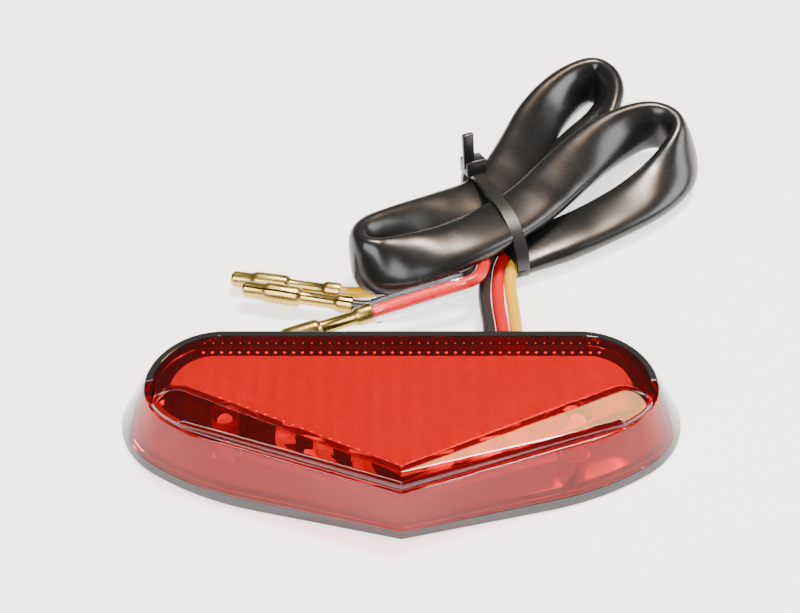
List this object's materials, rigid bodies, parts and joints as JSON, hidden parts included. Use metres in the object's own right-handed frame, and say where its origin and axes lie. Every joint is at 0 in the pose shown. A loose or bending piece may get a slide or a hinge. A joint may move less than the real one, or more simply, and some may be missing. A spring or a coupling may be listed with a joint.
{
  "type": "motorcycle tail light",
  "caption": "Slim red LED motorcycle tail light: chevron-bar lens on a black housing, with a sleeved wire harness tied in a hank and brass bullet terminals.",
  "frame": {"origin": "middle of the mounting face, the flat back of the housing", "axes": "+X across the lamp, +Y towards its top edge where the wires leave, +Z out of the lens"},
  "size_m": [0.114, 0.128, 0.0225],
  "materials": {
    "black_plastic": "moulded, glossy",
    "red_lens": "clear red moulded plastic, polished",
    "red_reflector": "moulded prisms behind a clear front",
    "black_rubber": "matt",
    "brass": "turned, bright",
    "zinc_steel": "zinc plated",
    "board_green": "solder mask",
    "led_amber": "clear epoxy over phosphor",
    "led_white": "clear epoxy",
    "chip_black": "moulded",
    "black_sleeve": "soft PVC, satin",
    "black_tie": "nylon",
    "clear_tube": "clear soft PVC",
    "black_insulation": "soft PVC",
    "red_insulation": "soft PVC",
    "yellow_insulation": "soft PVC"
  },
  "bodies": {
    "lamp": {"rear_housing": "black_plastic", "lens": "red_lens", "reflex_reflector": "red_reflector", "lens_seal": "black_rubber", "mounting_inserts": "brass", "lens_screws": "zinc_steel", "board_screws": "zinc_steel", "circuit_board": "board_green", "tail_leds": "led_amber", "plate_leds": "led_white", "resistors": "chip_black", "protection_diodes": "chip_black", "led_carrier": "black_plastic", "wire_grommet": "black_rubber", "harness_sleeve": "black_sleeve", "cable_tie": "black_tie", "black_terminal": "brass", "black_lead_inner": "black_insulation", "black_lead_passage": "black_insulation", "black_lead": "black_insulation", "black_tail": "black_insulation", "red_terminal": "brass", "red_lead_inner": "red_insulation", "red_lead_passage": "red_insulation", "red_lead": "red_insulation", "red_tail": "red_insulation", "yellow_terminal": "brass", "yellow_lead_inner": "yellow_insulation", "yellow_lead_passage": "yellow_insulation", "yellow_lead": "yellow_insulation", "yellow_tail": "yellow_insulation"},
    "red_cover": {"red_cover": "clear_tube"},
    "black_cover": {"black_cover": "clear_tube"}
  },
  "joints": [
    {"name": "red_cover_slide", "type": "slide", "parent": "lamp", "child": "red_cover", "axis": [-0.9465, -0.2993, -0.1206], "range_m": [0, 0.0185]},
    {"name": "black_cover_slide", "type": "slide", "parent": "lamp", "child": "black_cover", "axis": [0.8953, 0.4451, 0.0175], "range_m": [0, 0.002]}
  ]
}
